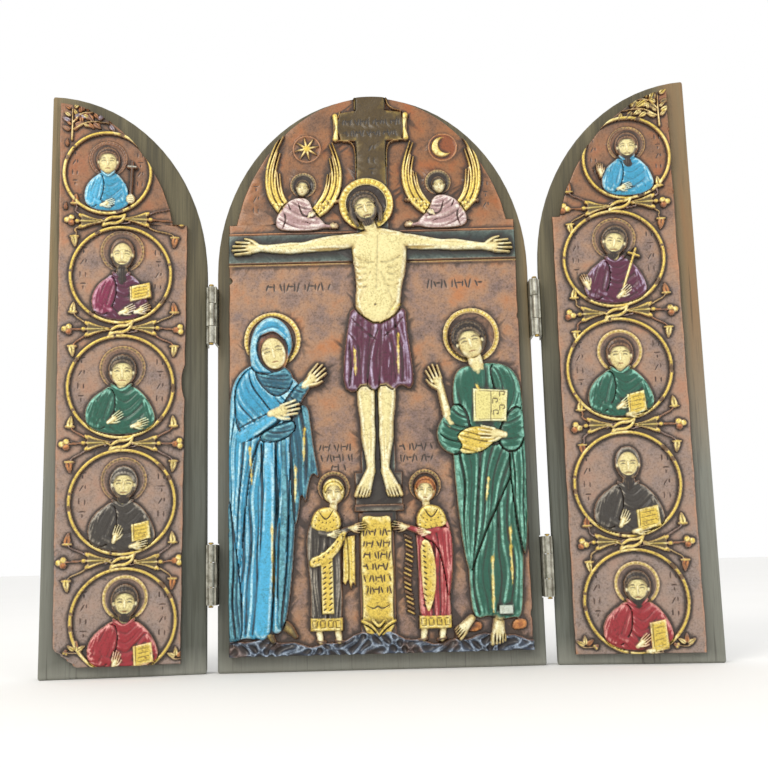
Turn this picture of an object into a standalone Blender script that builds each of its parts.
"""A small folding altarpiece of three arched boards, each with a cast relief on its front.

The boards stand upright on their bottom edges. The reliefs face -Y, +Z is up and +X is to
the right of a person who looks at them. The origin is the middle of the centre board's
underside. The wings turn about upright pins that stand in front of the boards, so that
they can close over the centre relief.
"""
import math

import bmesh
import bpy
import numpy as np

# Boards, in metres
CENTRE_WIDTH = 0.140
BOARD_HEIGHT = 0.258
ARCH_RISE = 0.083
WING_WIDTH = 0.0695
BOARD_THICKNESS = 0.012
BOARD_EDGE_ROUND = 0.0010
ARCH_STEPS = 20

# Wings: the gap beside the centre board, the pins' place and the angle at which they stand
WING_GAP = 0.0036
PIN_FORWARD = 0.0065
REST_ANGLE = math.radians(8.0)

# Hinges: two on each side, with three knuckles each
HINGE_LENGTH = 0.0255
HINGE_HEIGHTS = (0.0415, 0.155)
MIDDLE_KNUCKLE = 0.0102
KNUCKLE_CLEARANCE = 0.00025
BARREL_RADIUS = 0.00135
PIN_RADIUS = 0.00065
PIN_CLEARANCE = 0.00020
PIN_HEAD_RADIUS = 0.0011
PIN_HEAD_HEIGHT = 0.0006
LEAF_WIDTH = 0.0127
LEAF_THICKNESS = 0.0010
LEAF_CLEARANCE = 0.0003
MORTISE_DEPTH = 0.0006
MORTISE_MARGIN = 0.0005
ROUND_SIDES = 12

# Plaques: the cast slabs, their gap to the boards and the margins of board that they leave
SLAB_THICKNESS = 0.0025
SEAT_GAP = 0.0003
CENTRE_SIDE_MARGIN = 0.0055
CENTRE_FOOT_MARGIN = 0.0070
CENTRE_ARCH_SIDE_MARGIN = 0.0065
CENTRE_ARCH_TOP_MARGIN = 0.0012
WING_ARCH_TOP_MARGIN = 0.0040
SHOULDER_HEIGHT = 0.1970

# Each wing's plaque: its margins at the outer edge, the hinge edge and the arch, and its foot
LEFT_MARGINS = {"outer": 0.0035, "hinge": 0.0098, "arch": 0.0127, "foot": 0.0050}
RIGHT_MARGINS = {"outer": 0.0068, "hinge": 0.0075, "arch": 0.0083, "foot": 0.0045}
BROKEN_CORNER = (0.0100, 0.0075)

# The reliefs are drawn in units that are millimetres at these board sizes
DRAWN_CENTRE_WIDTH = 140.0
DRAWN_WING_WIDTH = 69.5
DRAWN_HEIGHT = 258.0
GRID_STEP = 0.8
CENTRE_FACES = 3000
WING_FACES = 1290

# Relief levels over a plaque's ground, in millimetres
FLAT_RISE = 0.9
HALO_RISE = 1.3
RING_RISE = 1.5
WING_BODY_RISE = 2.2
WING_HEAD_RISE = 2.8
SMALL_RISE = 2.6
BODY_RISE = 3.0
HEAD_RISE = 3.7

PIN_X = CENTRE_WIDTH / 2 + WING_GAP / 2
BOARD_FRONT = -BOARD_THICKNESS / 2
PIN_Y = BOARD_FRONT - PIN_FORWARD
SPRING_LINE = BOARD_HEIGHT - ARCH_RISE


def clear_scene():
    for item in list(bpy.data.objects):
        bpy.data.objects.remove(item, do_unlink=True)
    for group in list(bpy.data.collections):
        bpy.data.collections.remove(group)


def new_collection(name):
    group = bpy.data.collections.new(name)
    bpy.context.scene.collection.children.link(group)
    return group


def new_material(name, colour, roughness, metallic=0.0):
    material = bpy.data.materials.new(name)
    material.use_nodes = True
    shader = material.node_tree.nodes["Principled BSDF"]
    shader.inputs["Base Color"].default_value = (*colour, 1.0)
    shader.inputs["Roughness"].default_value = roughness
    shader.inputs["Metallic"].default_value = metallic
    material.diffuse_color = (*colour, 1.0)
    return material


def new_object(name, mesh, group, material=None, parent=None):
    item = bpy.data.objects.new(name, mesh)
    group.objects.link(item)
    if material:
        mesh.materials.append(material)
    item.parent = parent
    return item


def apply_modifiers(item):
    """Replaces an object's mesh by the one that its modifiers give."""
    bpy.context.view_layer.update()
    graph = bpy.context.evaluated_depsgraph_get()
    finished = bpy.data.meshes.new_from_object(item.evaluated_get(graph))
    item.modifiers.clear()
    item.data = finished


def cut(item, other, operation="DIFFERENCE"):
    modifier = item.modifiers.new(operation.lower(), "BOOLEAN")
    modifier.operation = operation
    modifier.object = other
    modifier.solver = "EXACT"
    apply_modifiers(item)


def flat_solid(name, outline, back, front, group):
    """A flat outline in the X-Z plane, given thickness from back to front along Y."""
    curve = bpy.data.curves.new(name, "CURVE")
    curve.dimensions = "2D"
    curve.fill_mode = "BOTH"
    curve.extrude = (back - front) / 2
    spline = curve.splines.new("POLY")
    spline.points.add(len(outline) - 1)
    for point, (x, z) in zip(spline.points, outline):
        point.co = (x, z, 0.0, 1.0)
    spline.use_cyclic_u = True
    guide = bpy.data.objects.new(name + "_outline", curve)
    group.objects.link(guide)
    guide.rotation_euler = (math.pi / 2, 0.0, 0.0)
    guide.location = (0.0, (back + front) / 2, 0.0)
    bpy.context.view_layer.update()
    graph = bpy.context.evaluated_depsgraph_get()
    mesh = bpy.data.meshes.new_from_object(guide.evaluated_get(graph))
    mesh.transform(guide.matrix_world)
    bpy.data.objects.remove(guide, do_unlink=True)
    solid = bmesh.new()
    solid.from_mesh(mesh)
    bmesh.ops.remove_doubles(solid, verts=solid.verts, dist=1e-6)
    bmesh.ops.dissolve_limit(solid, angle_limit=0.001, verts=solid.verts, edges=solid.edges)
    bmesh.ops.recalc_face_normals(solid, faces=solid.faces)
    solid.to_mesh(mesh)
    solid.free()
    mesh.name = name
    return mesh


def box_mesh(name, low, high):
    solid = bmesh.new()
    bmesh.ops.create_cube(solid, size=1.0)
    for vertex in solid.verts:
        vertex.co = [(a + b) / 2 + (b - a) * c for a, b, c in zip(low, high, vertex.co)]
    mesh = bpy.data.meshes.new(name)
    solid.to_mesh(mesh)
    solid.free()
    return mesh


def upright_cylinder(name, x, y, low, high, radius):
    solid = bmesh.new()
    bmesh.ops.create_cone(
        solid, cap_ends=True, segments=ROUND_SIDES, radius1=radius, radius2=radius, depth=high - low
    )
    bmesh.ops.translate(solid, vec=(x, y, (low + high) / 2), verts=solid.verts)
    mesh = bpy.data.meshes.new(name)
    solid.to_mesh(mesh)
    solid.free()
    return mesh


# Outlines, as (x, z) points in metres
def centre_board_outline():
    """A rectangle under a half ellipse."""
    half = CENTRE_WIDTH / 2
    points = [(-half, 0.0), (half, 0.0)]
    for step in range(2 * ARCH_STEPS + 1):
        angle = math.pi * step / (2 * ARCH_STEPS)
        points.append((half * math.cos(angle), SPRING_LINE + ARCH_RISE * math.sin(angle)))
    return points


def wing_board_outline():
    """A rectangle under a quarter ellipse that falls to the hinge edge, as a right wing."""
    hinge = WING_GAP / 2
    outer = hinge + WING_WIDTH
    points = [(hinge, 0.0), (outer, 0.0)]
    for step in range(ARCH_STEPS + 1):
        angle = math.pi / 2 * (1 + step / ARCH_STEPS)
        points.append((outer + WING_WIDTH * math.cos(angle), SPRING_LINE + ARCH_RISE * math.sin(angle)))
    return points


def centre_plaque_outline():
    """A rectangle with stepped shoulders under an arch that follows the board's own."""
    half = CENTRE_WIDTH / 2 - CENTRE_SIDE_MARGIN
    across = CENTRE_WIDTH / 2 - CENTRE_ARCH_SIDE_MARGIN
    rise = ARCH_RISE - CENTRE_ARCH_TOP_MARGIN
    start = math.asin((SHOULDER_HEIGHT - SPRING_LINE) / rise)
    points = [(-half, SHOULDER_HEIGHT), (-half, CENTRE_FOOT_MARGIN)]
    points += [(half, CENTRE_FOOT_MARGIN), (half, SHOULDER_HEIGHT)]
    for step in range(2 * ARCH_STEPS + 1):
        angle = start + (math.pi - 2 * start) * step / (2 * ARCH_STEPS)
        points.append((across * math.cos(angle), SPRING_LINE + rise * math.sin(angle)))
    return points


def wing_plaque_outline(margins, corner):
    """The same for a right wing, with half the arch; corner is a piece broken off its foot."""
    inner = WING_GAP / 2 + margins["hinge"]
    outer = WING_GAP / 2 + WING_WIDTH
    side = outer - margins["outer"]
    across = WING_WIDTH - margins["arch"]
    rise = ARCH_RISE - WING_ARCH_TOP_MARGIN
    foot = margins["foot"]
    first = math.acos(-margins["outer"] / across)
    last = math.pi - math.asin((SHOULDER_HEIGHT - SPRING_LINE) / rise)
    points = [(inner, SHOULDER_HEIGHT), (inner, foot)]
    if corner:
        points += [(side - corner[0], foot), (side, foot + corner[1])]
    else:
        points.append((side, foot))
    for step in range(ARCH_STEPS + 1):
        angle = first + (last - first) * step / ARCH_STEPS
        points.append((outer + across * math.cos(angle), SPRING_LINE + rise * math.sin(angle)))
    return points


def mirrored(outline):
    return [(-x, z) for x, z in reversed(outline)]


class Relief:
    """Heights over a plaque's ground, in millimetres, on a grid of drawing units."""

    def __init__(self, left, right, top):
        across = np.arange(left, right + GRID_STEP, GRID_STEP)
        upward = np.arange(0.0, top + GRID_STEP, GRID_STEP)
        self.x, self.z = np.meshgrid(across, upward)
        self.height = np.zeros_like(self.x)

    def lay(self, height, inside):
        self.height = np.where(inside, np.maximum(self.height, height), self.height)

    def dome(self, x, z, half_width, half_height, low, high):
        share = ((self.x - x) / half_width) ** 2 + ((self.z - z) / half_height) ** 2
        self.lay(low + (high - low) * np.sqrt(np.clip(1 - share, 0, 1)), share < 1)

    def limb(self, points, radii, low, high):
        """Rounded bars from point to point, each of the radius that its ends give."""
        for (x0, z0), (x1, z1), r0, r1 in zip(points, points[1:], radii, radii[1:]):
            dx, dz = x1 - x0, z1 - z0
            share = ((self.x - x0) * dx + (self.z - z0) * dz) / (dx * dx + dz * dz)
            share = np.clip(share, 0, 1)
            reach = np.hypot(self.x - x0 - share * dx, self.z - z0 - share * dz)
            radius = r0 + share * (r1 - r0)
            rise = np.sqrt(np.clip(1 - (reach / radius) ** 2, 0, 1))
            self.lay(low + (high - low) * rise, reach < radius)

    def patch(self, outline, low, high, edge, folds=None, fold_depth=0.6):
        """A raised area with a rounded edge; folds gives its ridges, 1 on top and 0 below."""
        inside = np.zeros(self.x.shape, bool)
        nearest = np.full(self.x.shape, 1e9)
        for (x0, z0), (x1, z1) in zip(outline, outline[1:] + outline[:1]):
            dx, dz = x1 - x0, z1 - z0
            share = ((self.x - x0) * dx + (self.z - z0) * dz) / (dx * dx + dz * dz)
            share = np.clip(share, 0, 1)
            nearest = np.minimum(nearest, np.hypot(self.x - x0 - share * dx, self.z - z0 - share * dz))
            if z0 != z1:
                beyond = self.x < dx * (self.z - z0) / dz + x0
                inside ^= ((z0 > self.z) != (z1 > self.z)) & beyond
        share = np.clip(nearest / edge, 0, 1)
        height = low + (high - low) * np.sqrt(1 - (1 - share) ** 2)
        if folds is not None:
            height = height - fold_depth * (1 - folds(self.x, self.z)) * share
        self.lay(height, inside)

    def bar(self, left, right, low, high, rise):
        self.patch([(left, low), (right, low), (right, high), (left, high)], 0.0, rise, 0.6)

    def ring(self, x, z, radius, half_width, low, high):
        reach = np.abs(np.hypot(self.x - x, self.z - z) - radius)
        rise = np.sqrt(np.clip(1 - (reach / half_width) ** 2, 0, 1))
        self.lay(low + (high - low) * rise, reach < half_width)


def upright_folds(middle, pitch, spread=0.0, top=0.0):
    """Rounded ridges that hang from top to hem and spread as they fall."""
    def ridges(x, z):
        across = (x - middle) / (1 + spread * (top - z))
        return np.abs(np.cos(math.pi * across / pitch)) ** 0.6
    return ridges


def haloed_head(relief, x, z, half_width, half_height, halo, rise):
    """A head in front of a disc with a raised rim; halo is the disc's (x, z, radius)."""
    halo_x, halo_z, radius = halo
    rim = 0.12 * radius
    relief.dome(halo_x, halo_z, radius, radius, 0.4 * HALO_RISE, 0.6 * HALO_RISE)
    relief.ring(halo_x, halo_z, radius - rim, rim, 0.5 * HALO_RISE, HALO_RISE)
    relief.dome(x, z, half_width, half_height, 0.4 * rise, rise)


def draw_cross(relief):
    relief.bar(-64.5, 64.5, 179.5, 193.0, FLAT_RISE)
    relief.bar(-7.0, 8.0, 62.0, 258.0, FLAT_RISE)
    relief.bar(-14.0, 15.5, 237.0, 250.0, 1.5 * FLAT_RISE)
    relief.bar(-10.0, 10.5, 66.5, 84.0, 1.5 * FLAT_RISE)


def draw_main_figure(relief):
    """The figure on the cross, in drawing units around the post at x = 0."""
    arms = [[(-9, 186), (-28, 186.5), (-50, 186), (-62, 185)], [(14, 187), (27, 185.5), (50, 185), (62, 184)]]
    for arm in arms:
        relief.limb(arm, [3.7, 3.3, 2.3, 1.9], FLAT_RISE, BODY_RISE)
    relief.limb([(-56, 186), (-55, 192)], [1.5, 1.1], FLAT_RISE, 0.8 * BODY_RISE)
    relief.limb([(56, 185), (54.5, 189)], [1.5, 1.1], FLAT_RISE, 0.8 * BODY_RISE)
    torso = [(-11, 190), (1, 193), (16, 191), (14, 172), (11.5, 163), (14, 155), (-12, 156), (-8, 163), (-9.5, 172)]
    relief.patch(torso, FLAT_RISE, HEAD_RISE, 7.0)
    for side in (-1, 1):
        relief.limb([(2.5 + 5.4 * side, 183), (2.5 + 6.5 * side, 176)], [4.2, 3.4], FLAT_RISE, 1.08 * HEAD_RISE)
        relief.limb([(0.4 + 4.2 * side, 122), (0.4 + 3.6 * side, 104), (0.4 + 2.9 * side, 85)],
                    [4.3, 3.7, 2.2], FLAT_RISE, BODY_RISE)
        relief.limb([(0.2 + 2.8 * side, 83), (9.2 * side, 71)], [2.5, 2.1], 1.5 * FLAT_RISE, BODY_RISE)
    cloth = [(-12, 157), (0, 152), (14, 156), (15, 138), (15.5, 121.5), (0, 119.5), (-14, 120.5), (-13.5, 138)]
    relief.patch(cloth, FLAT_RISE, HEAD_RISE, 4.0, upright_folds(0.5, 5.6, 0.004, 157), 0.7)
    haloed_head(relief, -3.5, 203.5, 5.6, 7.2, (-2.5, 206, 12.2), HEAD_RISE)
    relief.dome(-3.8, 197.2, 3.4, 4.2, BODY_RISE / 2, 0.95 * HEAD_RISE)


def draw_sky(relief):
    """The star, the moon and the two half-figures with wings over the cross's arms."""
    relief.dome(-29, 233.5, 4.0, 4.0, 0.3, 1.1)
    for ray in range(8):
        angle = math.pi * ray / 4
        tip = (-29 + 6.5 * math.cos(angle), 233.5 + 6.5 * math.sin(angle))
        relief.limb([(-29, 233.5), tip], [1.2, 0.5], 0.2, 1.0)
    relief.dome(33.5, 233, 6.3, 6.3, 0.3, 0.7)
    relief.ring(33.5, 233, 5.3, 1.1, 0.3, 1.1)
    for side in (-1, 1):
        relief.patch([(side * 44, 194), (side * 24, 194), (side * 25, 207), (side * 33, 210.5), (side * 42, 206)],
                     0.3, 0.75 * SMALL_RISE, 2.5, upright_folds(side * 33, 3.6), 0.5)
        relief.limb([(side * 27, 201), (side * 17.5, 196.5)], [2.1, 1.4], 0.3, 0.7 * SMALL_RISE)
        relief.limb([(side * 27, 205), (side * 15.5, 219), (side * 15, 233)], [2.4, 3.0, 0.7], 0.2, 0.6 * SMALL_RISE)
        relief.limb([(side * 41, 206), (side * 48.5, 221), (side * 46, 238)], [2.4, 3.0, 0.7], 0.2, 0.6 * SMALL_RISE)
        haloed_head(relief, side * 31.2, 214.3, 2.6, 3.5, (side * 30.8, 216, 6.0), 0.8 * SMALL_RISE)


def draw_left_mourner(relief):
    """The tall veiled figure on the left."""
    cloak = [(-64, 128), (-57, 134), (-47, 128), (-35, 126), (-29, 122), (-28.5, 113), (-27, 100), (-25.5, 82),
             (-33, 70), (-37, 50), (-38, 17), (-64.5, 16.5), (-62.5, 60), (-63.5, 95)]
    relief.patch(cloak, 0.3, BODY_RISE, 6.0, upright_folds(-50, 6.4, 0.003, 128), 0.8)
    relief.limb([(-60, 122), (-46, 111), (-33, 122), (-26, 130)], [5.5, 5.5, 4.2, 2.6], 0.5, HEAD_RISE)
    relief.limb([(-52, 104), (-40, 112), (-34, 115)], [5.0, 4.0, 2.4], 0.5, 1.05 * BODY_RISE)
    relief.patch([(-56, 131), (-55, 146), (-46, 155), (-38, 150), (-36, 138), (-40, 130)], 0.8, BODY_RISE, 4.0)
    haloed_head(relief, -45.2, 140, 5.0, 7.0, (-45.5, 144, 12.5), HEAD_RISE)
    for x in (-48.5, -38.5):
        relief.limb([(x, 17), (x + 1, 13)], [3.0, 2.2], 0.3, 0.8 * BODY_RISE)


def draw_right_mourner(relief):
    """The tall robed figure on the right, with a raised hand and a book."""
    robe = [(34, 127), (45, 131), (57, 131), (64, 124), (64.5, 100), (62, 60), (61, 20), (35, 19), (34, 60),
            (29, 90), (26, 103), (32, 108)]
    relief.patch(robe, 0.3, BODY_RISE, 6.0, upright_folds(48, 6.0, 0.003, 128), 0.8)
    relief.limb([(31, 98), (29.5, 112), (27, 126)], [5.0, 3.0, 2.4], 0.4, HEAD_RISE)
    relief.limb([(60, 118), (60, 104), (48, 99)], [5.2, 5.0, 3.0], 0.5, HEAD_RISE)
    relief.bar(42.0, 58.0, 104.5, 119.5, 1.08 * HEAD_RISE)
    relief.limb([(46, 129), (45, 134)], [3.8, 3.4], 0.5, BODY_RISE)
    haloed_head(relief, 42, 141, 6.0, 7.6, (43, 144, 12.3), HEAD_RISE)
    for x in (35.3, 49.5):
        relief.limb([(x, 18), (x, 12)], [3.4, 2.8], 0.3, 0.8 * BODY_RISE)


def draw_small_figure(relief, side, head_x, inner, outer, hem):
    """One of the two small bystanders by the post, with a collar and an arm to the middle."""
    body = [(side * outer, 62), (side * (outer - 5), 69), (side * (inner + 4), 69), (side * inner, 60),
            (side * (inner + 0.5), hem), (side * outer, hem), (side * (outer - 1.5), 40)]
    relief.patch(body, 0.3, SMALL_RISE, 3.5, upright_folds(side * (inner + outer) / 2, 4.0), 0.6)
    relief.limb([(side * (inner + 3), 62), (side * 5.5, 61.2)], [2.6, 1.7], 0.4, SMALL_RISE)
    relief.limb([(side * 12.5, 57), (side * 12.0, 26)], [2.2, 1.8], 0.3, 0.7 * SMALL_RISE)
    haloed_head(relief, head_x, 76.2, 3.3, 4.2, (head_x, 77.8, 6.5), SMALL_RISE)
    for x in (inner + 3, outer - 5):
        relief.limb([(side * x, hem + 1), (side * x, hem - 4)], [2.2, 1.6], 0.2, 0.7 * SMALL_RISE)


def draw_base(relief):
    """The tall scroll between the small figures, and the rocky ground under everybody."""
    relief.bar(-8.5, 6.0, 15.0, 66.5, 1.6)
    relief.limb([(-8, 17), (6, 17)], [2.6, 2.6], 0.6, 2.4)
    x, z = relief.x, relief.z
    crest = 12.5 + 1.8 * np.sin(x * 0.42) + 1.2 * np.sin(x * 1.13 + 1)
    rough = 1.1 + 0.5 * np.sin(x * 0.9 + z * 1.7) * np.cos(x * 0.31 - z * 0.8)
    relief.lay(np.minimum(rough, (crest - z) * 0.8), z < crest)


def centre_relief():
    half = DRAWN_CENTRE_WIDTH / 2
    relief = Relief(-half, half, DRAWN_HEIGHT + 2)
    draw_cross(relief)
    draw_sky(relief)
    draw_base(relief)
    draw_left_mourner(relief)
    draw_right_mourner(relief)
    draw_small_figure(relief, -1, -19.3, 16.5, 30.5, 16.0)
    draw_small_figure(relief, 1, 20.4, 15.0, 31.0, 16.0)
    draw_main_figure(relief)
    return relief


# The wings' medallions from the top down: the ring's centre and radius, in drawing units
# from the board's outer edge. The lowest ring is cut off by the plaque's foot.
LEFT_MEDALLIONS = ((23.5, 222.0, 19.1), (30.0, 174.5, 21.9), (30.7, 124.0, 22.6), (32.0, 73.5, 22.3), (33.2, 23.3, 21.8))
RIGHT_MEDALLIONS = ((26.0, 223.3, 19.1), (34.3, 176.5, 21.9), (34.9, 126.3, 22.4), (34.6, 75.8, 22.4), (33.9, 26.0, 21.6))


def draw_bust(relief, x, z, radius):
    """A half figure in a ring, its parts as shares of the ring's radius."""
    def place(across, up):
        return (x + across * radius, z + up * radius)
    body = [place(-0.60, -0.84), place(0.62, -0.84), place(0.64, -0.45), place(0.50, -0.08),
            place(0.20, 0.10), place(-0.20, 0.10), place(-0.52, -0.10), place(-0.64, -0.45)]
    relief.patch(body, 0.4, WING_BODY_RISE, 0.2 * radius, upright_folds(x, 0.24 * radius), 0.5)
    relief.limb([place(-0.50, -0.40), place(-0.05, -0.62)], [0.13 * radius, 0.09 * radius], 0.6, WING_HEAD_RISE)
    relief.limb([place(0.50, -0.40), place(0.28, -0.60)], [0.13 * radius, 0.09 * radius], 0.6, WING_HEAD_RISE)
    head_x, head_z = place(0.04, 0.36)
    haloed_head(relief, head_x, head_z, 0.19 * radius, 0.28 * radius, (head_x, head_z + 0.06 * radius, 0.42 * radius),
                WING_HEAD_RISE)


def draw_knot(relief, x, z):
    """The interlaced tie between two rings, with a sprig on each side of it."""
    relief.ring(x, z, 2.6, 1.0, 0.4, RING_RISE)
    for side in (-1, 1):
        relief.limb([(x + 3.5 * side, z + 7), (x, z), (x - 3.5 * side, z - 7)], [1.1, 1.2, 1.1], 0.4, RING_RISE)
        relief.limb([(x + 3 * side, z), (x + 13 * side, z), (x + 21 * side, z)], [0.8, 0.7, 0.6], 0.2, FLAT_RISE)
        relief.dome(x + 13 * side, z, 2.6, 1.9, 0.3, RING_RISE)
        relief.dome(x + 23 * side, z, 2.2, 1.7, 0.3, RING_RISE)
        for up in (-1, 1):
            stem = [(x + 12 * side, z + up), (x + 17 * side, z + 5 * up), (x + 21 * side, z + 8 * up)]
            relief.limb(stem, [0.6, 0.7, 1.8], 0.2, FLAT_RISE)


def wing_relief(medallions):
    """A wing's relief, drawn from its outer edge at x = 0 towards its hinge edge."""
    relief = Relief(-2.0, DRAWN_WING_WIDTH + 2.0, DRAWN_HEIGHT + 2)
    for (x, z, radius), (next_x, next_z, next_radius) in zip(medallions, medallions[1:]):
        draw_knot(relief, (x + next_x) / 2, (z - radius + next_z + next_radius) / 2)
    for x, z, radius in medallions:
        relief.ring(x, z, radius, 1.1, 0.2, RING_RISE)
        draw_bust(relief, x, z, radius)
    for leaf in range(4):
        start = (5.0 + 3.2 * leaf, 252.0 - 1.1 * leaf)
        relief.limb([start, (start[0] - 1.5, start[1] - 7)], [1.9, 0.8], 0.2, RING_RISE)
    return relief


def cast_plaque(name, relief, outline, to_world, faces, groups, material, parent):
    """The relief's surface as one closed slab, trimmed to the plaque's outline.

    to_world gives the x and z in metres of drawing units. The slab's back stays flat.
    """
    parts, cutters = groups
    rows, columns = relief.height.shape
    surface = bmesh.new()
    bmesh.ops.create_grid(surface, x_segments=columns - 1, y_segments=rows - 1, size=0.5)
    mesh = bpy.data.meshes.new(name)
    surface.to_mesh(mesh)
    surface.free()
    place = np.empty(len(mesh.vertices) * 3)
    mesh.vertices.foreach_get("co", place)
    place = place.reshape(-1, 3)
    column = np.rint((place[:, 0] + 0.5) * (columns - 1)).astype(int)
    row = np.rint((place[:, 1] + 0.5) * (rows - 1)).astype(int)
    back = BOARD_FRONT - SEAT_GAP
    ground = back - SLAB_THICKNESS
    across, upward = to_world(relief.x[row, column], relief.z[row, column])
    place[:, 0] = across
    place[:, 1] = ground - relief.height[row, column] * 0.001
    place[:, 2] = upward
    mesh.vertices.foreach_set("co", place.ravel())
    slab = new_object(name, mesh, parts, material)
    thin = slab.modifiers.new("fewer_faces", "DECIMATE")
    thin.ratio = faces / (2.0 * (rows - 1) * (columns - 1))
    apply_modifiers(slab)
    solid = bmesh.new()
    solid.from_mesh(slab.data)
    rim = [edge for edge in solid.edges if edge.is_boundary]
    sides = bmesh.ops.extrude_edge_only(solid, edges=rim)["geom"]
    for vertex in sides:
        if isinstance(vertex, bmesh.types.BMVert):
            vertex.co.y = back + SLAB_THICKNESS
    rim = [edge for edge in solid.edges if edge.is_boundary]
    bmesh.ops.contextual_create(solid, geom=rim)
    bmesh.ops.triangulate(solid, faces=solid.faces)
    bmesh.ops.recalc_face_normals(solid, faces=solid.faces)
    solid.to_mesh(slab.data)
    solid.free()
    trim = new_object(name + "_trim", flat_solid(name + "_trim", outline, back, ground - 0.02, cutters), cutters)
    trim.hide_render = True
    trim.display_type = "WIRE"
    cut(slab, trim, "INTERSECT")
    bpy.data.objects.remove(trim, do_unlink=True)
    slab.parent = parent
    return slab


def make_board(name, outline, mortise_edges, groups, material, parent):
    """A board with slightly rounded edges and a shallow mortise at each hinge leaf.

    mortise_edges gives each hinged side as its x and the direction out of the wood.
    """
    parts, cutters = groups
    board = new_object(name, flat_solid(name, outline, -BOARD_FRONT, BOARD_FRONT, cutters), parts, material)
    bevel = board.modifiers.new("edge_round", "BEVEL")
    bevel.width = BOARD_EDGE_ROUND
    bevel.segments = 2
    bevel.limit_method = "ANGLE"
    bevel.angle_limit = math.radians(50)
    apply_modifiers(board)
    for edge, outward in mortise_edges:
        for height in HINGE_HEIGHTS:
            half = HINGE_LENGTH / 2 + MORTISE_MARGIN
            depth = sorted((edge - outward * MORTISE_DEPTH, edge + outward * BOARD_THICKNESS))
            low = (depth[0], BOARD_FRONT - BOARD_THICKNESS, height - half)
            high = (depth[1], PIN_Y + LEAF_WIDTH + MORTISE_MARGIN, height + half)
            cutter = new_object("mortise", box_mesh("mortise", low, high), cutters)
            cutter.hide_render = True
            cutter.display_type = "WIRE"
            cut(board, cutter)
            bpy.data.objects.remove(cutter, do_unlink=True)
    board.data.shade_smooth()
    board.data.set_sharp_from_angle(angle=math.radians(35))
    board.parent = parent
    return board


def leaf_span(edge, outward):
    """The x range of a leaf that lies in its mortise on the board side at edge."""
    bottom = edge - outward * (MORTISE_DEPTH - LEAF_CLEARANCE)
    return sorted((bottom, bottom + outward * LEAF_THICKNESS))


def make_leaf(name, edge, outward, axis_x, axis_y, height, knuckles, groups, material, parent):
    """A leaf and its knuckles; knuckles are (low, high) stretches measured from its middle."""
    parts, cutters = groups
    left, right = leaf_span(edge, outward)
    half = HINGE_LENGTH / 2
    clear = axis_y + BARREL_RADIUS + KNUCKLE_CLEARANCE
    plate = box_mesh(name, (left, clear, height - half), (right, axis_y + LEAF_WIDTH, height + half))
    leaf = new_object(name, plate, parts, material)
    for low, high in knuckles:
        web = box_mesh("web", (left, axis_y, height + low), (right, clear + BARREL_RADIUS, height + high))
        barrel = upright_cylinder("barrel", axis_x, axis_y, height + low, height + high, BARREL_RADIUS)
        for piece in (web, barrel):
            helper = new_object("helper", piece, cutters)
            cut(leaf, helper, "UNION")
            bpy.data.objects.remove(helper, do_unlink=True)
    bore = upright_cylinder("bore", axis_x, axis_y, height - HINGE_LENGTH, height + HINGE_LENGTH,
                            PIN_RADIUS + PIN_CLEARANCE)
    helper = new_object("helper", bore, cutters)
    cut(leaf, helper)
    bpy.data.objects.remove(helper, do_unlink=True)
    leaf.data.shade_smooth()
    leaf.data.set_sharp_from_angle(angle=math.radians(35))
    leaf.parent = parent
    return leaf


def make_pin(name, axis_x, axis_y, height, group, material):
    """A turned pin with a low head at each end, standing in the barrel."""
    half = HINGE_LENGTH / 2 + LEAF_CLEARANCE
    tip = half + PIN_HEAD_HEIGHT
    profile = [(0, tip), (0.7 * PIN_HEAD_RADIUS, tip), (PIN_HEAD_RADIUS, tip - 0.4 * PIN_HEAD_HEIGHT),
               (PIN_HEAD_RADIUS, half), (PIN_RADIUS, half)]
    profile += [(radius, -z) for radius, z in reversed(profile)]
    line = bmesh.new()
    points = [line.verts.new((radius, 0.0, z)) for radius, z in profile]
    for start, end in zip(points, points[1:]):
        line.edges.new((start, end))
    mesh = bpy.data.meshes.new(name)
    line.to_mesh(mesh)
    line.free()
    pin = new_object(name, mesh, group, material)
    pin.location = (axis_x, axis_y, height)
    screw = pin.modifiers.new("turned", "SCREW")
    screw.axis = "Z"
    screw.steps = ROUND_SIDES
    screw.render_steps = ROUND_SIDES
    screw.use_merge_vertices = True
    screw.merge_threshold = 0.00001
    return pin


def knuckle_stretches():
    """The centre leaf's two outer knuckles and the wing leaf's middle one."""
    inner = MIDDLE_KNUCKLE / 2
    outer = HINGE_LENGTH / 2
    return [(-outer, -inner - KNUCKLE_CLEARANCE), (inner + KNUCKLE_CLEARANCE, outer)], [(-inner, inner)]


def make_hinges(side, side_name, parent, groups, materials):
    """Both hinges between the centre board and the wing on one side: 1 is right, -1 is left."""
    outer_knuckles, middle_knuckle = knuckle_stretches()
    for height, level in zip(HINGE_HEIGHTS, ("lower", "upper")):
        label = side_name + "_" + level
        make_leaf(label + "_hinge_centre_leaf", side * CENTRE_WIDTH / 2, side, side * PIN_X, PIN_Y, height,
                  outer_knuckles, groups, materials["hinge"], None)
        make_leaf(label + "_hinge_wing_leaf", side * WING_GAP / 2, -side, 0.0, 0.0, height,
                  middle_knuckle, groups, materials["hinge"], parent)
        make_pin(label + "_hinge_pin", side * PIN_X, PIN_Y, height, groups[0], materials["pin"])


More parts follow.
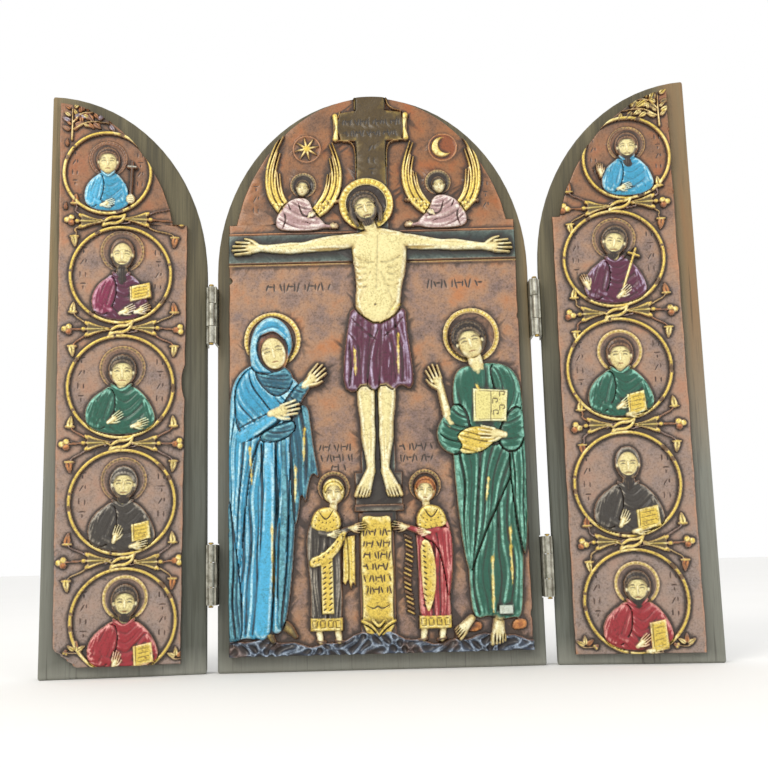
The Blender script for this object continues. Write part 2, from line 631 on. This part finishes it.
def make_wing(side, side_name, margins, medallions, corner, groups, materials):
    """A wing board and its plaque, hung on an empty that stands on the hinge pins' axis."""
    axis = bpy.data.objects.new(side_name + "_wing_axis", None)
    groups[0].objects.link(axis)
    board_outline = wing_board_outline()
    plaque_outline = wing_plaque_outline(margins, corner)
    if side < 0:
        board_outline = mirrored(board_outline)
        plaque_outline = mirrored(plaque_outline)
    outer = WING_GAP / 2 + WING_WIDTH
    scale_x = WING_WIDTH / DRAWN_WING_WIDTH
    scale_z = BOARD_HEIGHT / DRAWN_HEIGHT

    def to_world(x, z):
        return side * (outer - x * scale_x), z * scale_z

    board = make_board(side_name + "_board", board_outline, [(side * WING_GAP / 2, -side)], groups,
                       materials["wood"], axis)
    plaque = cast_plaque(side_name + "_relief", wing_relief(medallions), plaque_outline, to_world, WING_FACES,
                         groups, materials["cast"], axis)
    for item in (board, plaque):
        item.location.y = -PIN_Y
    make_hinges(side, side_name, axis, groups, materials)
    axis.location = (side * PIN_X, PIN_Y, 0.0)
    axis.rotation_euler.z = -side * REST_ANGLE


def make_centre(groups, materials):
    edges = [(-CENTRE_WIDTH / 2, -1), (CENTRE_WIDTH / 2, 1)]
    make_board("centre_board", centre_board_outline(), edges, groups, materials["wood"], None)
    scale_x = CENTRE_WIDTH / DRAWN_CENTRE_WIDTH
    scale_z = BOARD_HEIGHT / DRAWN_HEIGHT

    def to_world(x, z):
        return x * scale_x, z * scale_z

    cast_plaque("centre_relief", centre_relief(), centre_plaque_outline(), to_world, CENTRE_FACES, groups,
                materials["cast"], None)


def main():
    clear_scene()
    groups = (new_collection("triptych"), new_collection("cutters"))
    materials = {
        "wood": new_material("stained_wood", (0.115, 0.105, 0.075), 0.6),
        "cast": new_material("painted_cast", (0.25, 0.11, 0.065), 0.5),
        "hinge": new_material("hinge_steel", (0.45, 0.45, 0.42), 0.4, 1.0),
        "pin": new_material("pin_brass", (0.55, 0.42, 0.16), 0.35, 1.0),
    }
    make_centre(groups, materials)
    make_wing(-1, "left", LEFT_MARGINS, LEFT_MEDALLIONS, BROKEN_CORNER, groups, materials)
    make_wing(1, "right", RIGHT_MARGINS, RIGHT_MEDALLIONS, None, groups, materials)


main()
